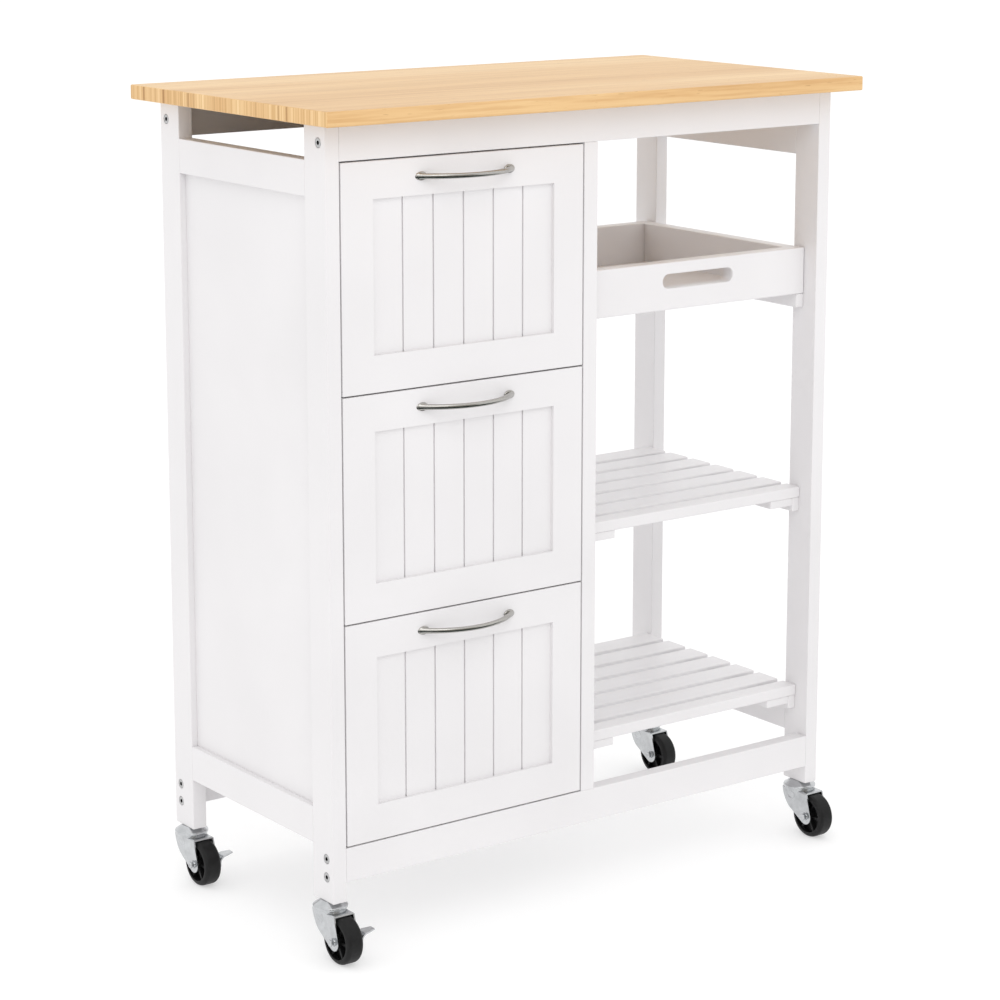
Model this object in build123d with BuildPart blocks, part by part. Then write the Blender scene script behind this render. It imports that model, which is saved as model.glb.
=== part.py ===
from build123d import *
import os

# Kitchen island cart: a painted frame with three drawers on the left, a pull-out tray and two
# slatted shelves on the right, a wooden worktop, and four swivel casters, the left two with brakes.
# Millimetres. The origin is on the floor under the middle of the worktop, +Z up, front towards -Y.

# ---- overall -------------------------------------------------------------------------------
FRAME_W = 640.0          # outside of the left legs to outside of the right legs
FRAME_D = 307.0          # front of the front legs to back of the back legs
CASTER_H = 60.0          # floor to the underside of the legs
LEG_LEN = 769.0
TOP_W, TOP_D, TOP_T = 674.0, 369.0, 15.0
BOARD_T = 16.0           # legs, rails and aprons are all this thick
LEG_D = 36.0             # width of a leg, front to back
EASE = 0.8               # rounding of a board's edges

X_OUT, X_IN = FRAME_W / 2, FRAME_W / 2 - BOARD_T
Y_OUT, Y_IN = FRAME_D / 2, FRAME_D / 2 - LEG_D
Y_BOARD = Y_OUT - BOARD_T            # inner face of the aprons and the front and back rails
FRAME_TOP = CASTER_H + LEG_LEN

# ---- rails and panels ----------------------------------------------------------------------
APRON_H = 36.0
APRON_Z = FRAME_TOP - APRON_H        # underside of the aprons, and top of the side upper rails
SIDE_RAIL_H = 35.0
BOTTOM_RAIL_Z = CASTER_H + 20.0
BOTTOM_RAIL_H = 35.0
FLOOR_Z = BOTTOM_RAIL_Z + BOTTOM_RAIL_H     # underside of the drawer opening
SIDE_LOWER_H = 37.0
SIDE_PANEL_IN, SIDE_PANEL_T = 7.0, 5.0      # how far the left panel is set in, and its thickness
BACK_PANEL_T = 6.0
BACK_PANEL_TOP = APRON_Z - SIDE_RAIL_H
DIVIDER_X, DIVIDER_T = -11.5, 17.0          # left face of the divider, and its thickness
DIVIDER_PANEL_T = 12.0
BAY_X = DIVIDER_X + DIVIDER_T               # left side of the open bay

# ---- shelves and tray ----------------------------------------------------------------------
SLAT_T, SLAT_W, SLAT_PITCH, SLATS = 12.0, 31.3, 40.0, 6
FRONT_SLAT_W = 21.2
SHELF_Y = -Y_OUT + 18.5              # front edge of the shelves and the tray
SHELF_TOPS = {"middle": CASTER_H + 335.0, "lower": CASTER_H + 110.0}
FIRST_SLAT_Y = SHELF_Y + 29.6
SHELF_BACK = FIRST_SLAT_Y + (SLATS - 1) * SLAT_PITCH + SLAT_W
CLEAT_W, CLEAT_H = 10.0, 15.0
BATTEN_W, BATTEN_T = 31.0, 8.5
TRAY_Z, TRAY_H, TRAY_T, TRAY_D = CASTER_H + 548.8, 50.0, 16.0, 269.5
TRAY_PLAY = 0.6                      # gap between the tray and the frame at each side
TRAY_FLOOR_T = 4.0
HAND_HOLE_L, HAND_HOLE_H = 95.0, 15.0

# ---- drawers -------------------------------------------------------------------------------
DRAWERS = ("bottom", "middle", "top")
DRAWER_GAP = 1.5
FRONT_T = 15.0
FRONT_W = DIVIDER_X + X_IN - 2 * DRAWER_GAP
FRONT_H = (APRON_Z - FLOOR_Z - (len(DRAWERS) + 1) * DRAWER_GAP) / len(DRAWERS)
FRONT_X = (DIVIDER_X - X_IN) / 2     # middle of the drawer stack
STILE = 36.5                         # width of the frame round a drawer front's panel
RABBET = 6.0                         # overlap of the panel behind that frame
BEAD_IN, BEAD_T, BEAD_PITCH, BEAD_GROOVES = 4.0, 6.0, 36.0, 5
GROOVE_W, GROOVE_DEEP = 1.8, 2.0
RUNNER_SPACE = 12.7                  # room for a runner at each side of a drawer box
RUNNER_STEEL = 1.2
RUNNER_Y, RUNNER_L = -Y_OUT + 18.0, 270.0
CABINET_RUNNER_H, CABINET_RUNNER_W = 30.0, 9.0
DRAWER_RUNNER_H, DRAWER_RUNNER_W = 22.0, 9.7
RUNNER_LIFT = 45.0                   # runner's middle above the underside of the drawer box
BOX_T, BOX_H, BOX_LIFT, BOX_D = 12.0, 160.0, 18.0, 270.0
BOX_FLOOR_T, BOX_FLOOR_LIFT = 4.0, 8.0
GLUE_LINE = 0.1

# ---- handles -------------------------------------------------------------------------------
HANDLE_REACH = 22.5                  # drawer front to the middle of the bow
SCREW_HALF = 48.0                    # half the distance between the handle's screws
BOW_HALF = 56.5                      # half the distance between the ends of the bow's middle line
BOW_END_Y = 1.9
BOW_W, BOW_T = 5.0, 4.2
FOOT_X, FOOT_W, FOOT_H, FOOT_T = 51.8, 16.0, 10.4, 3.5
SCREW_R, SCREW_HEAD_R, SCREW_HEAD_T = 2.0, 4.0, 2.2

# ---- frame bolts ---------------------------------------------------------------------------
BOLT_R, BOLT_HEAD_R, BOLT_HEAD_T, BOLT_L = 2.5, 5.0, 2.5, 52.0
BOLT_INSET = 11.5                    # bolt's middle from the leg's front or back face
BOLT_ZS = (CASTER_H + 25.5, CASTER_H + 44.5, FRAME_TOP - APRON_H / 2)
SOCKET_R, SOCKET_D = 2.3, 1.9
BOLT_PLAY = 0.15
NUT_R, NUT_L, NUT_IN = 4.0, 8.6, 28.0       # cross dowel nut, and its distance into the rail
NUT_SINK = 6.3                       # how far the nuts lie below the back of the back rails
NUT_FACES = {-1: -Y_BOARD, 1: Y_OUT}        # the face, out of sight, that the nuts go in through

# ---- casters -------------------------------------------------------------------------------
WHEEL_R, WHEEL_W, SHOULDER_R = 24.0, 19.0, 4.5
RIM_R, WEB_HALF, HUB_R, HUB_HALF = 18.5, 2.5, 6.5, 10.0
SPOKES, SPOKE_W, SPOKE_HALF = 6, 2.6, 7.5
AXLE_R, AXLE_HEAD_R, AXLE_HEAD_T, AXLE_PLAY = 2.9, 4.3, 1.2, 0.08
FIT = 0.05                           # gap round a part that is pressed or riveted in place
TRAIL = 23.0                         # axle's distance in front of the swivel axis
FORK_HALF, FORK_STEEL = 12.2, 1.5
FORK_TOP, FORK_FRONT, FORK_BACK = 50.5, 24.5, 14.5
FORK_EAR_R = 9.0
RACE_R, RACE_T = 16.5, 1.5
CAP_R, CAP_TOP_R, CAP_Z, CAP_EDGE = 17.7, 9.8, 52.3, 2.3
STEM_R, STEM_PLAY, STEM_L = 4.0, 0.12, 20.0
RIVET_R, RIVET_T = 7.0, 2.5
SWIVEL_PLAY = 0.3
LEVER_T, LEVER_GAP, LEVER_EYE_R = 1.5, 0.35, 6.5
PEDAL_Z, PEDAL_OUT, PEDAL_FRONT, PEDAL_W = 31.0, 30.0, 37.0, 14.0
PEDAL_BEND = 4.5
CORNERS = {
    "front_left": (-X_OUT + BOARD_T / 2, -Y_OUT + LEG_D / 2),
    "back_left": (-X_OUT + BOARD_T / 2, Y_OUT - LEG_D / 2),
    "front_right": (X_OUT - BOARD_T / 2, -Y_OUT + LEG_D / 2),
    "back_right": (X_OUT - BOARD_T / 2, Y_OUT - LEG_D / 2),
}
BRAKED = ("front_left", "back_left")

os.makedirs("parts", exist_ok=True)


def save(part, name):
    """Name a finished piece and write it."""
    part.label = name
    export_step(part, f"parts/{name}.step")


def boards(*boxes, ease=EASE):
    """Boards with eased edges, each given as x, x, y, y, z, z."""
    with BuildPart() as made:
        for x0, x1, y0, y1, z0, z1 in boxes:
            with BuildSketch(Plane.XY.offset(z0)):
                with Locations(((x0 + x1) / 2, (y0 + y1) / 2)):
                    Rectangle(x1 - x0, y1 - y0)
            extrude(amount=z1 - z0)
        fillet(made.edges(), radius=ease)
    return made.part


def facing_x(x, y, z, side):
    """A plane at a point that faces outwards along X, to the right for side 1."""
    return Plane(origin=(x, y, z), x_dir=(0, side, 0), z_dir=(side, 0, 0))


# ---- worktop and legs ----------------------------------------------------------------------
save(boards((-TOP_W / 2, TOP_W / 2, -TOP_D / 2, TOP_D / 2, FRAME_TOP, FRAME_TOP + TOP_T), ease=1.6), "worktop")

for corner, (leg_x, leg_y) in CORNERS.items():
    side = 1 if leg_x > 0 else -1
    end = 1 if leg_y > 0 else -1
    bolt_y = end * (Y_OUT - BOLT_INSET)
    with BuildPart() as leg:
        with BuildSketch(Plane.XY.offset(CASTER_H)):
            with Locations((leg_x, leg_y)):
                Rectangle(BOARD_T, LEG_D)
        extrude(amount=LEG_LEN)
        fillet(leg.edges(), radius=EASE)
        with Locations(*[facing_x(side * X_OUT, bolt_y, z, side) for z in BOLT_ZS]):
            CounterBoreHole(
                radius=BOLT_R + BOLT_PLAY,
                counter_bore_radius=BOLT_HEAD_R + BOLT_PLAY,
                counter_bore_depth=BOLT_HEAD_T,
                depth=BOARD_T,
            )
        with Locations(Plane(origin=(leg_x, leg_y, CASTER_H), z_dir=(0, 0, -1))):
            Hole(radius=STEM_R + STEM_PLAY, depth=STEM_L + 1)
    save(leg.part, f"leg_{corner}")

# ---- side frames ---------------------------------------------------------------------------
for name, side in (("left", -1), ("right", 1)):
    x0, x1 = sorted((side * X_IN, side * X_OUT))
    save(boards((x0, x1, -Y_IN, Y_IN, APRON_Z - SIDE_RAIL_H, APRON_Z)), f"{name}_upper_rail")
    save(boards((x0, x1, -Y_IN, Y_IN, FLOOR_Z, FLOOR_Z + SIDE_LOWER_H)), f"{name}_lower_rail")

panel_x = -X_OUT + SIDE_PANEL_IN
panel_z = FLOOR_Z + SIDE_LOWER_H, APRON_Z - SIDE_RAIL_H
save(boards((panel_x, panel_x + SIDE_PANEL_T, -Y_IN, Y_IN, *panel_z), ease=0.3), "left_side_panel")


def bolted_rail(end, z0, z1, bolt_zs):
    """A board between the left and right legs, bored for its bolts and their nuts."""
    inner, outer = end * Y_BOARD, end * Y_OUT
    bolt_y = end * (Y_OUT - BOLT_INSET)
    sink = NUT_SINK if end > 0 else 0
    with BuildPart() as rail:
        with BuildSketch(Plane.XY.offset(z0)):
            with Locations((0, (inner + outer) / 2)):
                Rectangle(2 * X_IN, BOARD_T)
        extrude(amount=z1 - z0)
        fillet(rail.edges(), radius=EASE)
        for side in (-1, 1):
            with Locations(*[facing_x(side * X_IN, bolt_y, z, side) for z in bolt_zs]):
                Hole(radius=BOLT_R + BOLT_PLAY, depth=BOLT_L - BOARD_T + 1)
            nut_x = side * (X_IN - NUT_IN)
            with Locations(*[Plane(origin=(nut_x, NUT_FACES[end], z), z_dir=(0, 1, 0)) for z in bolt_zs]):
                Hole(radius=NUT_R + BOLT_PLAY, depth=sink + NUT_L + 0.2)
    return rail.part


save(bolted_rail(-1, APRON_Z, FRAME_TOP, BOLT_ZS[2:]), "front_apron")
save(bolted_rail(1, APRON_Z, FRAME_TOP, BOLT_ZS[2:]), "back_apron")
save(bolted_rail(-1, BOTTOM_RAIL_Z, FLOOR_Z, BOLT_ZS[:2]), "front_bottom_rail")
save(bolted_rail(1, BOTTOM_RAIL_Z, FLOOR_Z, BOLT_ZS[:2]), "back_bottom_rail")

with BuildPart() as frame_bolts:
    for side in (-1, 1):
        for end in (-1, 1):
            for z in BOLT_ZS:
                face = facing_x(side * X_OUT, end * (Y_OUT - BOLT_INSET), z, side)
                with BuildSketch(face):
                    Circle(BOLT_HEAD_R)
                extrude(amount=-BOLT_HEAD_T)
                with BuildSketch(face):
                    Circle(BOLT_R)
                extrude(amount=-BOLT_L)
                with BuildSketch(face):
                    RegularPolygon(radius=SOCKET_R, side_count=6)
                extrude(amount=-SOCKET_D, mode=Mode.SUBTRACT)
save(frame_bolts.part, "frame_bolts")

with BuildPart() as barrel_nuts:
    for side in (-1, 1):
        for end in (-1, 1):
            for z in BOLT_ZS:
                nut_x = side * (X_IN - NUT_IN)
                nut_y = NUT_FACES[end] - (NUT_SINK if end > 0 else 0)
                with BuildSketch(Plane(origin=(nut_x, nut_y, z), z_dir=(0, 1, 0))):
                    Circle(NUT_R)
                extrude(amount=-NUT_L)
                bolt_y = end * (Y_OUT - BOLT_INSET)
                with Locations(facing_x(nut_x + side * NUT_R, bolt_y, z, side)):
                    Hole(radius=BOLT_R + FIT, depth=2 * NUT_R)
save(barrel_nuts.part, "barrel_nuts")

# ---- divider and back panel ----------------------------------------------------------------
save(
    boards(
        (DIVIDER_X, BAY_X, -Y_OUT, -Y_IN, FLOOR_Z, APRON_Z),
        (DIVIDER_X, BAY_X, Y_IN, Y_OUT, FLOOR_Z, APRON_Z),
    ),
    "divider_posts",
)
divider_in = (DIVIDER_T - DIVIDER_PANEL_T) / 2
save(
    boards((DIVIDER_X + divider_in, BAY_X - divider_in, -Y_IN, Y_IN, FLOOR_Z, APRON_Z), ease=0.3),
    "divider_panel",
)
save(
    boards((-X_IN, DIVIDER_X, Y_BOARD, Y_BOARD + BACK_PANEL_T, FLOOR_Z, BACK_PANEL_TOP), ease=0.3),
    "back_panel",
)

# ---- shelves -------------------------------------------------------------------------------
cleats = []
battens = []
for name, top in SHELF_TOPS.items():
    under = top - SLAT_T
    slats = [(BAY_X, X_IN, SHELF_Y, SHELF_Y + FRONT_SLAT_W, under, top)]
    for i in range(SLATS):
        y = FIRST_SLAT_Y + i * SLAT_PITCH
        slats.append((BAY_X, X_IN, y, y + SLAT_W, under, top))
    save(boards(*slats, ease=1.5), f"{name}_shelf_slats")
    for x0, x1 in ((BAY_X, BAY_X + CLEAT_W), (X_IN - CLEAT_W, X_IN)):
        cleats.append((x0, x1, SHELF_Y + 1, SHELF_BACK - 1, under - CLEAT_H, under))
    for x0 in (BAY_X + CLEAT_W + GLUE_LINE, X_IN - CLEAT_W - BATTEN_W - GLUE_LINE):
        battens.append((x0, x0 + BATTEN_W, SHELF_Y + 1, SHELF_BACK - 1, under - BATTEN_T, under))
save(boards(*cleats), "shelf_cleats")
save(boards(*battens), "shelf_battens")

# ---- tray and its runners ------------------------------------------------------------------
runner_top = TRAY_Z - 0.2
save(
    boards(
        (BAY_X, BAY_X + CLEAT_W, SHELF_Y + 0.5, SHELF_Y + TRAY_D, runner_top - CLEAT_H, runner_top),
        (X_IN - CLEAT_W, X_IN, SHELF_Y + 0.5, SHELF_Y + TRAY_D, runner_top - CLEAT_H, runner_top),
        ease=1.5,
    ),
    "tray_runners",
)
tray_x0, tray_x1 = BAY_X + TRAY_PLAY, X_IN - TRAY_PLAY
tray_y1 = SHELF_Y + TRAY_D
with BuildPart() as tray_front:
    with BuildSketch(Plane.XZ.offset(-SHELF_Y - TRAY_T)):
        with Locations(((tray_x0 + tray_x1) / 2, TRAY_Z + TRAY_H / 2)):
            Rectangle(tray_x1 - tray_x0, TRAY_H)
        with Locations(((tray_x0 + tray_x1) / 2, TRAY_Z + 0.6 * TRAY_H)):
            SlotOverall(HAND_HOLE_L, HAND_HOLE_H, mode=Mode.SUBTRACT)
    extrude(amount=TRAY_T)
    fillet(tray_front.edges(), radius=1.2)
save(tray_front.part, "tray_front")
save(boards((tray_x0, tray_x1, tray_y1 - TRAY_T, tray_y1, TRAY_Z, TRAY_Z + TRAY_H), ease=1.2), "tray_back")
side_y = SHELF_Y + TRAY_T, tray_y1 - TRAY_T
save(
    boards(
        (tray_x0, tray_x0 + TRAY_T, *side_y, TRAY_Z, TRAY_Z + TRAY_H),
        (tray_x1 - TRAY_T, tray_x1, *side_y, TRAY_Z, TRAY_Z + TRAY_H),
        ease=1.2,
    ),
    "tray_sides",
)
save(
    boards((tray_x0 + TRAY_T, tray_x1 - TRAY_T, *side_y, TRAY_Z + 2, TRAY_Z + 2 + TRAY_FLOOR_T), ease=0.3),
    "tray_bottom",
)


# ---- drawers -------------------------------------------------------------------------------
def channels(height, width, *places):
    """Folded steel channels along Y, each given as its web's x, the way it opens and its height."""
    with BuildPart() as made:
        for x_web, opens, z in places:
            with BuildSketch(Plane.XZ.offset(-RUNNER_Y)):
                with Locations((x_web + opens * width / 2, z)):
                    Rectangle(width, height)
                with Locations((x_web + opens * (RUNNER_STEEL + width / 2), z)):
                    Rectangle(width, height - 2 * RUNNER_STEEL, mode=Mode.SUBTRACT)
            extrude(amount=-RUNNER_L)
    return made.part


def drawer_front(z0):
    """The frame of a drawer front, rabbeted behind for its panel and drilled for the handle."""
    z_mid = z0 + FRONT_H / 2
    with BuildPart() as front:
        with BuildSketch(Plane.XZ.offset(Y_OUT)):
            with Locations((FRONT_X, z_mid)):
                Rectangle(FRONT_W, FRONT_H)
        extrude(amount=-FRONT_T)
        fillet(front.edges(), radius=EASE)
        with BuildSketch(Plane.XZ.offset(Y_OUT)):
            with Locations((FRONT_X, z_mid)):
                Rectangle(FRONT_W - 2 * STILE, FRONT_H - 2 * STILE)
        extrude(amount=-FRONT_T, mode=Mode.SUBTRACT)
        with BuildSketch(Plane.XZ.offset(Y_OUT - FRONT_T)):
            with Locations((FRONT_X, z_mid)):
                Rectangle(FRONT_W - 2 * STILE + 2 * RABBET, FRONT_H - 2 * STILE + 2 * RABBET)
        extrude(amount=FRONT_T - BEAD_IN, mode=Mode.SUBTRACT)
        with BuildSketch(Plane.XZ.offset(Y_OUT)):
            with Locations(*[(FRONT_X + s * SCREW_HALF, z0 + FRONT_H - STILE / 2) for s in (-1, 1)]):
                Circle(SCREW_R + BOLT_PLAY)
        extrude(amount=-FRONT_T, mode=Mode.SUBTRACT)
    return front.part


def bead_panel(z0):
    """The grooved panel behind a drawer front's frame."""
    width = FRONT_W - 2 * STILE + 2 * RABBET - 2 * GLUE_LINE
    height = FRONT_H - 2 * STILE + 2 * RABBET - 2 * GLUE_LINE
    face = -Y_OUT + BEAD_IN
    first = FRONT_X - (BEAD_GROOVES - 1) * BEAD_PITCH / 2
    with BuildPart() as panel:
        with BuildSketch(Plane.XY.offset(z0 + STILE - RABBET + GLUE_LINE)):
            with Locations((FRONT_X, face + BEAD_T / 2)):
                Rectangle(width, BEAD_T)
            with Locations(*[(first + i * BEAD_PITCH, face) for i in range(BEAD_GROOVES)]):
                Rectangle(GROOVE_W, 2 * GROOVE_DEEP, mode=Mode.SUBTRACT)
        extrude(amount=height)
    return panel.part


def bow_handle(z):
    """A bowed bar handle on two oval feet, with its two screws."""
    path_y = -Y_OUT - BOW_END_Y
    with BuildPart() as handle:
        with BuildLine():
            ThreePointArc(
                (FRONT_X - BOW_HALF, path_y, z),
                (FRONT_X, -Y_OUT - HANDLE_REACH, z),
                (FRONT_X + BOW_HALF, path_y, z),
            )
        bow = handle.pending_edges[0]
        start = Plane(origin=bow @ 0, x_dir=(0, 0, 1), z_dir=bow % 0)
        with BuildSketch(start):
            Ellipse(BOW_W / 2, BOW_T / 2)
        sweep()
        with BuildSketch(Plane.XZ.offset(Y_OUT)):
            with Locations(*[(FRONT_X + s * FOOT_X, z) for s in (-1, 1)]):
                Ellipse(FOOT_W / 2, FOOT_H / 2)
        extrude(amount=FOOT_T)
        with BuildSketch(Plane.XZ.offset(Y_OUT - GLUE_LINE)):
            with Locations(*[(FRONT_X + s * SCREW_HALF, z) for s in (-1, 1)]):
                Circle(SCREW_R)
        extrude(amount=-(FRONT_T - GLUE_LINE))
        with BuildSketch(Plane.XZ.offset(Y_OUT - FRONT_T)):
            with Locations(*[(FRONT_X + s * SCREW_HALF, z) for s in (-1, 1)]):
                Circle(SCREW_HEAD_R)
        extrude(amount=-SCREW_HEAD_T)
    return handle.part


box_x0, box_x1 = -X_IN + RUNNER_SPACE, DIVIDER_X - RUNNER_SPACE
box_y0 = -Y_OUT + FRONT_T
box_y1 = box_y0 + BOX_D
front_zs = [FLOOR_Z + DRAWER_GAP + i * (FRONT_H + DRAWER_GAP) for i in range(len(DRAWERS))]

for name, front_z in zip(DRAWERS, front_zs):
    box_z = front_z + BOX_LIFT
    floor_z = box_z + BOX_FLOOR_LIFT
    save(drawer_front(front_z), f"drawer_{name}_front")
    save(bead_panel(front_z), f"drawer_{name}_panel")
    save(bow_handle(front_z + FRONT_H - STILE / 2), f"drawer_{name}_handle")
    save(
        boards(
            (box_x0, box_x0 + BOX_T, box_y0, box_y1, box_z, box_z + BOX_H),
            (box_x1 - BOX_T, box_x1, box_y0, box_y1, box_z, box_z + BOX_H),
            (
                box_x0 + BOX_T + GLUE_LINE,
                box_x1 - BOX_T - GLUE_LINE,
                box_y1 - BOX_T,
                box_y1,
                box_z,
                box_z + BOX_H,
            ),
        ),
        f"drawer_{name}_box",
    )
    save(
        boards(
            (box_x0 + BOX_T, box_x1 - BOX_T, box_y0, box_y1 - BOX_T, floor_z, floor_z + BOX_FLOOR_T),
            ease=0.3,
        ),
        f"drawer_{name}_bottom",
    )
    runner_z = box_z + RUNNER_LIFT
    pair = (box_x0, -1, runner_z), (box_x1, 1, runner_z)
    save(channels(DRAWER_RUNNER_H, DRAWER_RUNNER_W, *pair), f"drawer_{name}_runners")

cabinet_places = []
for front_z in front_zs:
    runner_z = front_z + BOX_LIFT + RUNNER_LIFT
    cabinet_places += [(-X_IN, 1, runner_z), (DIVIDER_X, -1, runner_z)]
save(channels(CABINET_RUNNER_H, CABINET_RUNNER_W, *cabinet_places), "cabinet_runners")


# ---- casters -------------------------------------------------------------------------------
def turned_at_corners(*points):
    """A piece turned about the swivel axis of each caster, from points of radius and height."""
    with BuildPart() as made:
        for x, y in CORNERS.values():
            with BuildSketch(Plane(origin=(x, y, 0), x_dir=(1, 0, 0), z_dir=(0, -1, 0))):
                with BuildLine():
                    Polyline(*points, close=True)
                make_face()
            revolve(axis=Axis((x, y, 0), (0, 0, 1)))
    return made.part


stem_bore = STEM_R + STEM_PLAY
caster_caps = turned_at_corners(
    (stem_bore, CAP_Z),
    (CAP_R, CAP_Z),
    (CAP_R, CAP_Z + CAP_EDGE),
    (CAP_TOP_R, CASTER_H),
    (stem_bore, CASTER_H),
)
save(caster_caps, "caster_caps")

fork_under = FORK_TOP - FORK_STEEL
rivet_top = fork_under - SWIVEL_PLAY
caster_stems = turned_at_corners(
    (0, rivet_top - RIVET_T),
    (RIVET_R - 1.5, rivet_top - RIVET_T),
    (RIVET_R, rivet_top - 1),
    (RIVET_R, rivet_top),
    (STEM_R, rivet_top),
    (STEM_R, CASTER_H + STEM_L),
    (0, CASTER_H + STEM_L),
)
save(caster_stems, "caster_stems")


def caster_fork(x, y, reach):
    """A pressed fork with its riveted axle; reach is the axle's free length past the right cheek."""
    front, back = -FORK_FRONT, FORK_BACK
    ear_front = (-TRAIL - 8.65, WHEEL_R + 2.5)
    ear_low = (-TRAIL, WHEEL_R - FORK_EAR_R)
    ear_back = (-TRAIL + 4.6, WHEEL_R - 7.7)
    waist = (4.3, 29.8)
    axle = Plane(origin=(x, y - TRAIL, WHEEL_R), x_dir=(0, 1, 0), z_dir=(1, 0, 0))
    with BuildPart() as fork:
        with BuildSketch(Plane(origin=(x - FORK_HALF, y, 0), x_dir=(0, 1, 0), z_dir=(1, 0, 0))):
            with BuildLine():
                Polyline((back, FORK_TOP), (front, FORK_TOP), ear_front)
                ThreePointArc(ear_front, ear_low, ear_back)
                Line(ear_back, waist)
                ThreePointArc(waist, (10.8, 38.6), (back, FORK_TOP))
            make_face()
        extrude(amount=2 * FORK_HALF)
        long_edges = fork.edges().filter_by(Axis.X)
        top_edges = fork.faces().sort_by(Axis.Z)[-1].edges() - long_edges
        fillet(top_edges, radius=2.0)
        with BuildSketch(Plane.XY.offset(fork_under)):
            with Locations((x, y)):
                Rectangle(2 * (FORK_HALF - FORK_STEEL), 4 * TRAIL)
        extrude(amount=-fork_under, mode=Mode.SUBTRACT)
        with BuildSketch(Plane.XY.offset(fork_under)):
            with Locations((x, y)):
                Circle(RACE_R)
        extrude(amount=FORK_STEEL + RACE_T)
        with Locations((x, y, FORK_TOP + RACE_T)):
            Hole(radius=STEM_R + AXLE_PLAY, depth=3 * FORK_STEEL)
        with BuildSketch(axle.offset(-2 * FORK_HALF)):
            Circle(AXLE_R + FIT)
        extrude(amount=4 * FORK_HALF, mode=Mode.SUBTRACT)
        left_end, right_end = -FORK_HALF - FIT, FORK_HALF + FIT + reach
        with BuildSketch(axle.offset(left_end)):
            Circle(AXLE_R)
        extrude(amount=right_end - left_end)
        with BuildSketch(axle.offset(left_end)):
            Circle(AXLE_HEAD_R)
        extrude(amount=-AXLE_HEAD_T, taper=12)
        with BuildSketch(axle.offset(right_end)):
            Circle(AXLE_HEAD_R)
        extrude(amount=AXLE_HEAD_T, taper=12)
    return fork.part


def caster_wheel(x, y):
    """A moulded wheel with rounded shoulders, a thin web, a hub and spokes."""
    half = WHEEL_W / 2
    flat = half - SHOULDER_R
    bore = AXLE_R + AXLE_PLAY
    bend = SHOULDER_R * (1 - 0.7071)
    with BuildPart() as wheel:
        with BuildSketch(Plane(origin=(x, y - TRAIL, WHEEL_R), x_dir=(1, 0, 0), z_dir=(0, -1, 0))):
            with BuildLine():
                Polyline((-half, WHEEL_R - SHOULDER_R), (-half, RIM_R), (-WEB_HALF, RIM_R),
                         (-WEB_HALF, HUB_R), (-HUB_HALF, HUB_R), (-HUB_HALF, bore),
                         (HUB_HALF, bore), (HUB_HALF, HUB_R), (WEB_HALF, HUB_R),
                         (WEB_HALF, RIM_R), (half, RIM_R), (half, WHEEL_R - SHOULDER_R))
                ThreePointArc((half, WHEEL_R - SHOULDER_R), (half - bend, WHEEL_R - bend), (flat, WHEEL_R))
                Line((flat, WHEEL_R), (-flat, WHEEL_R))
                ThreePointArc((-flat, WHEEL_R), (bend - half, WHEEL_R - bend), (-half, WHEEL_R - SHOULDER_R))
            make_face()
        revolve(axis=Axis((x, y - TRAIL, WHEEL_R), (1, 0, 0)))
        spokes = Plane(origin=(x - SPOKE_HALF, y - TRAIL, WHEEL_R), x_dir=(0, 1, 0), z_dir=(1, 0, 0))
        with BuildSketch(spokes):
            with PolarLocations((RIM_R + HUB_R) / 2, SPOKES):
                Rectangle(RIM_R - HUB_R + 1, SPOKE_W)
        extrude(amount=2 * SPOKE_HALF)
    return wheel.part


def brake_lever(x, y):
    """A pressed lever that turns on the axle, with a pedal bent out to the right."""
    inside = FORK_HALF + LEVER_GAP
    pedal_back = PEDAL_W - PEDAL_FRONT
    with BuildPart() as lever:
        with BuildSketch(Plane(origin=(x + inside, y, 0), x_dir=(0, 1, 0), z_dir=(1, 0, 0))) as cheek:
            with Locations((-TRAIL, WHEEL_R)):
                Circle(LEVER_EYE_R)
            with Locations(((pedal_back - PEDAL_FRONT) / 2, PEDAL_Z - PEDAL_BEND)):
                Rectangle(PEDAL_W, 1)
            make_hull()
        extrude(amount=LEVER_T)
        with BuildSketch(Plane(origin=(x, y - PEDAL_FRONT, 0), x_dir=(1, 0, 0), z_dir=(0, -1, 0))):
            with BuildLine():
                Polyline((inside, PEDAL_Z - PEDAL_BEND), (inside, PEDAL_Z), (PEDAL_OUT, PEDAL_Z - 1),
                         (PEDAL_OUT, PEDAL_Z - 1 - LEVER_T),
                         (inside + LEVER_T + PEDAL_BEND, PEDAL_Z - LEVER_T))
                ThreePointArc((inside + LEVER_T + PEDAL_BEND, PEDAL_Z - LEVER_T),
                              (inside + LEVER_T + 0.35 * PEDAL_BEND, PEDAL_Z - LEVER_T - 0.35 * PEDAL_BEND),
                              (inside + LEVER_T, PEDAL_Z - LEVER_T - PEDAL_BEND))
                Line((inside + LEVER_T, PEDAL_Z - LEVER_T - PEDAL_BEND), (inside, PEDAL_Z - PEDAL_BEND))
            make_face()
        extrude(amount=-PEDAL_W)
        with Locations(Plane(origin=(x + PEDAL_OUT, y - TRAIL, WHEEL_R), z_dir=(1, 0, 0))):
            CounterBoreHole(
                radius=AXLE_R + AXLE_PLAY,
                counter_bore_radius=AXLE_HEAD_R + LEVER_GAP,
                counter_bore_depth=PEDAL_OUT - inside - LEVER_T,
                depth=PEDAL_OUT - inside,
            )
    return lever.part


for corner, (caster_x, caster_y) in CORNERS.items():
    reach = LEVER_T + 2 * LEVER_GAP if corner in BRAKED else 0
    save(caster_fork(caster_x, caster_y, reach), f"caster_{corner}_fork")
    save(caster_wheel(caster_x, caster_y), f"caster_{corner}_wheel")
    if corner in BRAKED:
        save(brake_lever(caster_x, caster_y), f"caster_{corner}_brake")
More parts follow.
